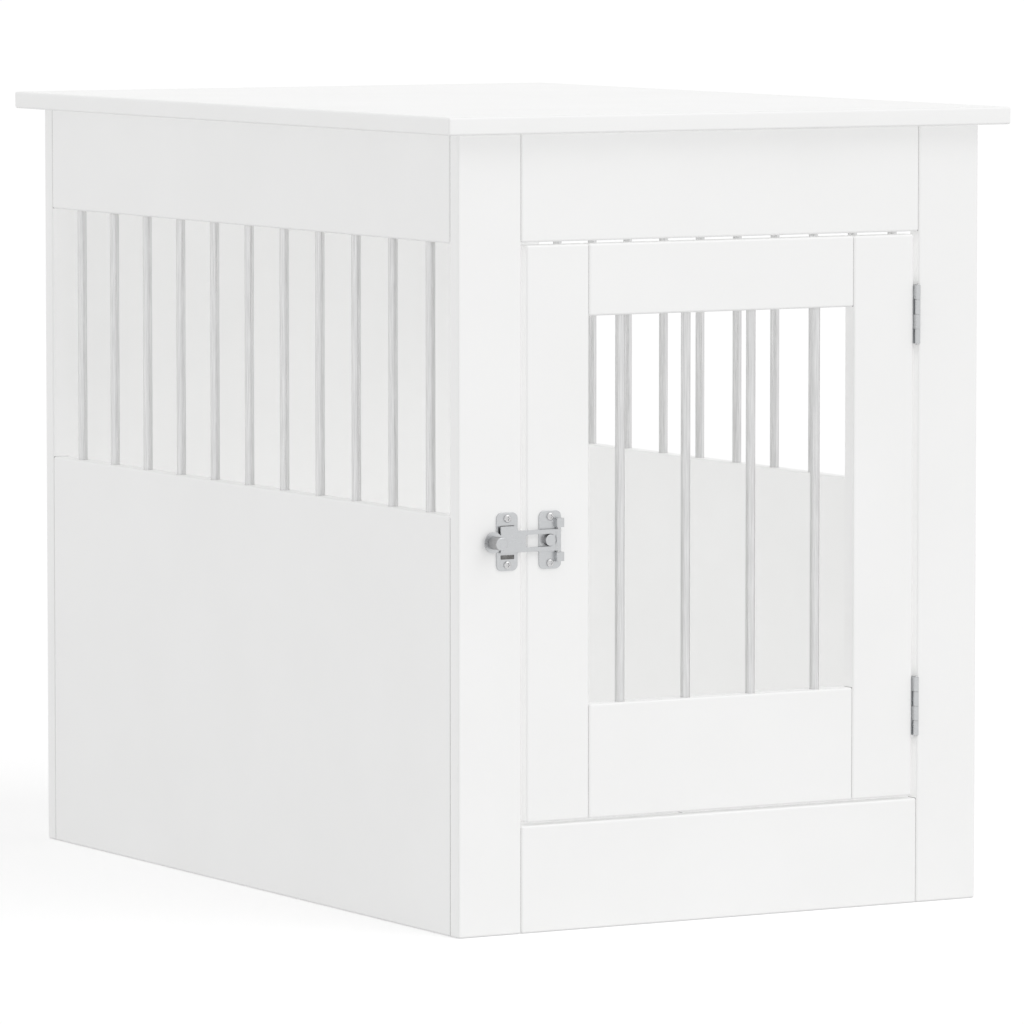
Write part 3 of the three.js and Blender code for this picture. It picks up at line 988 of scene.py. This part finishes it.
# %% Hinges
knuckle_count = 4
knuckle_radius = 2.4 * mm
pin_radius = 1.2 * mm
pin_head_radius = 2.0 * mm
pin_head_height = 0.8 * mm
leaf_corner = 2.5 * mm
metal_ease = 0.15 * mm
slit_width = 0.25 * mm


def on_hinge(height, x=0, y=0):
    """A point beside the hinge's axis."""
    return Vector((hinge_axis.x + x, hinge_axis.y + y, height))


def countersink(seat, inward):
    """The hole of a flat-headed screw."""
    profile = [
        (flat_head_radius + hair_joint, -over), (flat_head_radius + hair_joint, 0),
        (shank_radius + clearance, flat_head_depth), (shank_radius + clearance, through),
    ]
    return turned("countersink", profile, seat, inward)


def make_leaf(node):
    low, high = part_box(node)
    back, face, toward = leaf_faces(node)
    leaf = block("leaf", (min(back, face), hinge_axis.y, low.z),
                 (max(back, face), high.y, high.z))
    round_along(leaf, X, leaf_corner, where=lambda point: point.y > stile_front)
    knuckle_height = (high.z - low.z) / knuckle_count
    reach = knuckle_radius + clearance
    knuckles = []
    for k in range(knuckle_count):
        top = high.z - k * knuckle_height
        bottom = top - knuckle_height
        if (k % 2 == 0) == (body_of[node] == "door"):
            ends = (bottom + clearance / 2, top - clearance / 2)
            knuckles.append(rod("knuckle", knuckle_radius, *map(on_hinge, ends)))
            slit_x = -toward * (knuckle_radius - leaf_thickness - slit_width / 2)
            slit = block("slit", on_hinge(ends[0] - over, slit_x - slit_width / 2, 0),
                         on_hinge(ends[1] + over, slit_x + slit_width / 2,
                                  knuckle_radius + over))
            cut(knuckles[-1], slit)
        else:
            cut(leaf, block("gap", on_hinge(bottom - clearance / 2, -reach, -reach),
                            on_hinge(top + clearance / 2, reach, reach)))
    weld(leaf, *knuckles)
    cut(leaf, rod("bore", pin_radius + clearance, on_hinge(low.z - over),
                  on_hinge(high.z + over), narrow_round))
    cut(leaf, *(countersink(seat, -toward * X) for seat in leaf_screw_seats(node)))
    ease(leaf, metal_ease)
    stand_for(smooth(leaf), node)


def make_hinge_pin(node):
    low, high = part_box(node)
    neck = (high.z - low.z) / 2 - pin_head_height
    head = quarter(pin_head_radius, pin_head_radius / 4, neck, pin_head_height)
    profile = [*mirrored(head), (pin_radius, -neck), (pin_radius, neck), *head]
    stand_for(smooth(turned("pin", profile, on_hinge(middle(node).z), Z)), node)


for node in leaves:
    make_leaf(node)
for node in ("upper_hinge_pin", "lower_hinge_pin"):
    make_hinge_pin(node)
print("pieces so far:", len(made))

# %% [markdown]
# ## Latch
# Both plates are stamped from the same strip, with round corners and a soft edge that
# the punch leaves on the front. A block with rounded corners is enough for that. The
# door's plate also carries a stud, which stands in the round end of the strap's slot,
# and two curled ears for the strap's pin.

# %% Latch plates
plate_corner = 5 * mm
plate_ease = 0.4 * mm
door_plate_width = 21 * mm
hole_facets = 24
flank_limit = 0.3
stud_from_pin = 8.6 * mm
stud_radius = 4.8 * mm
stud_height = 5 * mm
stud_rim = 0.5 * mm
ear_radius = 2.5 * mm
ear_offset = 10.4 * mm
ear_height = 7.5 * mm
latch_pin_radius = 1 * mm


def make_plate(node, width, tools):
    """A plate with round corners, a soft front edge and its holes."""
    low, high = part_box(node)
    back = high.y
    front = back - strap_thickness
    plate = block("plate", (low.x, front, low.z), (low.x + width, back, high.z))
    coat(plate, "plate_steel")
    round_along(plate, Y, plate_corner, 8)
    round_rim(plate, "Y", front, plate_ease)
    cut(plate, *tools)
    return plate


def plate_holes(body):
    """The screw holes of the latch plate on a body."""
    return [rod("hole", shank_radius + clearance, seat - Y * over, seat + Y * through,
                hole_facets) for seat in plate_screw_seats(body)]


def latch_point(x, y, z):
    """A point beside the pin of the strap."""
    return latch_axis + Vector((x, y, z))


def make_keeper_plate():
    node = "latch_keeper_plate"
    low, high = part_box(node)
    tools = keeper_slot_tools(low.y - over, high.y + over, 0)
    plate = make_plate(node, high.x - low.x, tools + plate_holes("cabinet"))
    stand_for(smooth(plate), node)


def paint_flank_shade(piece):
    """Gives the flank of a piece turned about Y a darker steel: lathe rings, and painted shade."""
    coat(coat(piece, "plate_steel"), "turned_steel_painted_shade")
    for face in piece.data.polygons:
        face.material_index = int(abs(face.normal.y) < flank_limit)
    return piece


def make_door_plate():
    node = "latch_door_plate"
    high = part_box(node)[1]
    plate = make_plate(node, door_plate_width, plate_holes("door"))
    foot = Vector((latch_axis.x - stud_from_pin, high.y, latch_axis.z))
    height = stud_height + strap_thickness
    rim = quarter(stud_radius, stud_radius - stud_rim, height - stud_rim, stud_rim)
    # The stud's flank takes the darker steel, which paints it shaded.
    weld(plate, paint_flank_shade(turned("stud", [(stud_radius, 0), *rim], foot, -Y, wide_round)))
    ear_end = high.x - latch_axis.x
    for offset in (ear_offset, -ear_offset - ear_height):
        ear = block("ear", latch_point(-ear_radius, -ear_radius, offset),
                    latch_point(ear_end, high.y - latch_axis.y, offset + ear_height))
        round_along(ear, Z, ear_radius - HAIR, 8, lambda point: point.y < latch_axis.y)
        weld(plate, ease(ear, metal_ease))
    reach = ear_offset + ear_height + over
    cut(plate, rod("bore", latch_pin_radius + clearance, latch_point(0, 0, -reach),
                   latch_point(0, 0, reach), narrow_round))
    stand_for(smooth(plate), node)


make_keeper_plate()
make_door_plate()
print("pieces so far:", len(made))

# %% [markdown]
# The strap is one stamped piece: a bar with a slot for the stud, a wide head whose top
# is bent back into the keeper plate, a round nose for the knob, and an eye curled round
# the pin, with a sloping shoulder where the curl rises from the bar. It is welded from
# blocks and rods, cut, and then eased all over, because a tumbled stamping has no sharp
# edge left.

# %% Strap
strap_half = 8.9 * mm
strap_head_half = 7.8 * mm
strap_fillet = 2.5 * mm
strap_nose_radius = 8.7 * mm
strap_eye_radius = 2.1 * mm
strap_slot_reach = 22.9 * mm
strap_slot_corner = 2 * mm
strap_slot_clearance = 0.45 * mm
strap_slot_half = stud_radius + strap_slot_clearance
lip_half = keeper_slot_width / 2 - slot_clearance
lip_bend = 1 * mm
strap_ease = 0.4 * mm
nose_facets = 64


def make_strap():
    front = -strap_thickness / 2
    back = strap_thickness / 2
    keeper_x = middle("latch_keeper_plate").x - latch_axis.x
    knob_x = middle("latch_knob").x - latch_axis.x
    head_left, head_right = keeper_x - strap_head_half, keeper_x + strap_head_half
    strap = block("strap", latch_point(head_left, front, -strap_half),
                  latch_point(0, back, strap_half))
    head = block("head", latch_point(head_left, front, -strap_half),
                 latch_point(head_right, back, lip_rise))
    nose = rod("nose", strap_nose_radius, latch_point(knob_x, front, 0),
               latch_point(knob_x, back, 0), nose_facets)
    corner = strap_half + strap_fillet
    fillet = block("fillet", latch_point(head_right - over, front, strap_half - over),
                   latch_point(head_right + strap_fillet, back, corner))
    cut(fillet, rod("round", strap_fillet,
                    latch_point(head_right + strap_fillet, front - over, corner),
                    latch_point(head_right + strap_fillet, back + over, corner),
                    narrow_round))
    eye = rod("eye", strap_eye_radius, latch_point(0, 0, -strap_half),
              latch_point(0, 0, strap_half))
    lip_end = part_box("latch_strap")[1].y - latch_axis.y
    lip = block("lip", latch_point(keeper_x - lip_half, front, lip_rise - strap_thickness),
                latch_point(keeper_x + lip_half, lip_end, lip_rise))
    round_along(lip, X, lip_bend, 4, lambda point: point.y < latch_axis.y
                and point.z > lip_top - HAIR)
    rise = strap_eye_radius - strap_thickness / 2
    shoulder = block("shoulder", latch_point(-strap_eye_radius - rise, -strap_eye_radius,
                                             -strap_half), latch_point(0, 0, strap_half))
    round_along(shoulder, Z, rise, 1, lambda point: point.x < latch_axis.x - HAIR
                and point.y < latch_axis.y - HAIR)
    weld(strap, head, nose, fillet, eye, shoulder, lip)
    slot = block("slot", latch_point(-stud_from_pin - strap_slot_reach, front - over,
                                     -strap_slot_half),
                 latch_point(-stud_from_pin, back + over, strap_slot_half))
    left = latch_axis.x - stud_from_pin - strap_slot_reach
    round_along(slot, Y, strap_slot_corner, 5, lambda point: point.x < left + HAIR)
    slot_end = rod("slot_end", strap_slot_half,
                   latch_point(-stud_from_pin, front - over, 0),
                   latch_point(-stud_from_pin, back + over, 0))
    cut(strap, weld(slot, slot_end))
    ease(strap, strap_ease, 3)
    cut(strap, rod("bore", latch_pin_radius + clearance, latch_point(0, 0, -strap_half - over),
                   latch_point(0, 0, strap_half + over), narrow_round))
    stand_for(smooth(strap), "latch_strap")


make_strap()
print("pieces so far:", len(made))

# %% [markdown]
# The knob is turned from bar: a plain round grip with a rounded end, and behind the
# strap the riveted tail that holds it. The strap's pin is a plain rod with domed ends.

# %% Knob and pin
knob_radius = 5.5 * mm
knob_rim = 1.0 * mm
knob_foot = 0.3 * mm
knob_shank_radius = 2 * mm
knob_tail_radius = 3.2 * mm
knob_tail_height = 0.8 * mm


def make_knob():
    low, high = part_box("latch_knob")
    seat = Vector(((low.x + high.x) / 2, latch_axis.y - strap_thickness / 2 - hair_joint,
                   (low.z + high.z) / 2))
    height = seat.y - low.y
    behind = -strap_thickness - 2 * hair_joint
    profile = [
        (knob_tail_radius, behind - knob_tail_height), (knob_tail_radius, behind),
        (knob_shank_radius, behind), (knob_shank_radius, 0),
        (knob_radius - knob_foot, 0), (knob_radius, knob_foot),
        *quarter(knob_radius, knob_radius - knob_rim, height - knob_rim, knob_rim),
    ]
    # The knob's flank takes the darker steel, which paints it shaded.
    stand_for(smooth(paint_flank_shade(turned("knob", profile, seat, -Y, wide_round))), "latch_knob")


def make_latch_pin():
    low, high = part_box("latch_pin")
    dome = latch_pin_radius / 2
    end = quarter(latch_pin_radius, dome / 2, (high.z - low.z) / 2 - dome, dome)
    stand_for(smooth(turned("pin", mirrored(end) + end, latch_axis, Z)), "latch_pin")


make_knob()
make_latch_pin()
print("all pieces:", len(made))

# %% [markdown]
# ## Floor and light
# The object stands on a plain white floor in plain soft light: an even white sky and a
# broad, weak lamp from the upper right. For the camera, and in mirrors and glass, floor
# and sky are pure white. More light would whiten them too, but it would burn out the
# boards. So the light that they throw on the object is only about two thirds of white.

# %% Floor, sky and lamp
floor_drop = 0.1 * mm
floor_size = 400
floor_tone = 0.63
sky_strength = 0.672
lamp_strength = 0.47
lamp_toward = Vector((0.35, -0.6, 0.7))
lamp_softness = 45
lamp_distance = 3


def seen_directly(tree):
    """1 for camera, mirror and glass rays, and 0 for the rays that light the object."""
    path = tree.nodes.new("ShaderNodeLightPath")
    seen = path.outputs["Is Camera Ray"]
    for ray in ("Is Glossy Ray", "Is Transmission Ray"):
        either = tree.nodes.new("ShaderNodeMath")
        either.operation = "MAXIMUM"
        tree.links.new(seen, either.inputs[0])
        tree.links.new(path.outputs[ray], either.inputs[1])
        seen = either.outputs[0]
    return seen


def make_floor():
    bpy.ops.object.select_all(action="DESELECT")
    bpy.ops.mesh.primitive_plane_add(size=floor_size, location=(0, 0, -floor_drop))
    floor = settle("floor")
    tree, shader, _ = new_material("floor_white", (1, 1, 1), 0.9, 0)
    shader.inputs["Specular IOR Level"].default_value = 0
    vary_color(tree, shader, seen_directly(tree), (floor_tone,) * 3, (1, 1, 1))
    floor.data.materials.append(materials["floor_white"])


def make_sky():
    world = bpy.data.worlds.new("studio")
    bpy.context.scene.world = world
    world.use_nodes = True
    tree = world.node_tree
    background = tree.nodes["Background"]
    background.inputs["Color"].default_value = (1, 1, 1, 1)
    strength = ranged(tree, seen_directly(tree), 0, 1, sky_strength, 1)
    tree.links.new(strength, background.inputs["Strength"])


def make_lamp(name, toward, strength, softness):
    """A lamp far away in a direction, which lights everything evenly."""
    bpy.ops.object.select_all(action="DESELECT")
    turn = Z.rotation_difference(toward.normalized()).to_euler()
    bpy.ops.object.light_add(type="SUN", location=toward * lamp_distance, rotation=turn)
    lamp = bpy.context.active_object
    lamp.name = lamp.data.name = name
    lamp.data.energy = strength
    lamp.data.angle = math.radians(softness)
    return lamp


make_floor()
make_sky()
make_lamp("soft_lamp", lamp_toward, lamp_strength, lamp_softness)
bpy.context.scene.view_settings.view_transform = "Standard"
print("floor:", floor_size, "m wide")

# %% [markdown]
# Little of that light reaches the inside of the cabin. In a studio small lamps would be
# hidden in there. Here four fill lamps and a weaker one below do it. They throw no
# shadow, so the inner face of a board gets as much as the outer one. The four shine
# slantwise, between the faces, so that a rounded edge looks no brighter than a face.

# %% Fill lamps
fill_softness = 5
fill_turn = math.radians(41.6)
fill_lift = math.radians(19.3)
fill_strength = 0.565
fill_from_below = 0.25


def make_fill_lamp(name, toward, strength):
    """A lamp that throws no shadow and no highlight."""
    lamp = make_lamp(name, toward, strength, fill_softness)
    lamp.data.use_shadow = False
    lamp.visible_glossy = False


for turn in (fill_turn, math.pi - fill_turn, math.pi + fill_turn, -fill_turn):
    level = Vector((math.sin(turn), -math.cos(turn), 0)) * math.cos(fill_lift)
    make_fill_lamp("fill_lamp", level + Z * math.sin(fill_lift), fill_strength)
make_fill_lamp("fill_lamp_below", -Z, fill_from_below)
print("lamps:", len(bpy.data.lights))

# %% [markdown]
# ## Camera
# The photograph was taken with a long lens from the front left, a little above the
# table top. The camera looks at a point on the near front edge, half-way up, moved a
# little to the right and up so that the whole object fits the frame.

# %% Camera
azimuth = math.radians(29.922)
pitch = math.radians(4.873)
camera_distance = 6.3815
camera_right = 44.1 * mm
camera_up = 14.5 * mm
camera_lens = 272.4
camera_sensor = 36
camera_clip = 1000


def make_camera():
    forward = Vector((math.sin(azimuth) * math.cos(pitch),
                      math.cos(azimuth) * math.cos(pitch), -math.sin(pitch)))
    right = Vector((math.cos(azimuth), -math.sin(azimuth), 0))
    up = right.cross(forward)
    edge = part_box("front_left_stile")[0]
    table_height = cad_bounds[1].z
    aim = Vector((edge.x, edge.y, table_height / 2)) + right * camera_right + up * camera_up
    bpy.ops.object.camera_add(
        location=aim - forward * camera_distance,
        rotation=(math.pi / 2 - pitch, 0, -azimuth),
    )
    camera = bpy.context.active_object
    camera.name = "camera"
    camera.data.lens = camera_lens
    camera.data.sensor_width = camera_sensor
    camera.data.clip_end = camera_clip
    bpy.context.scene.camera = camera


make_camera()
print("camera:", camera_distance, "m away")
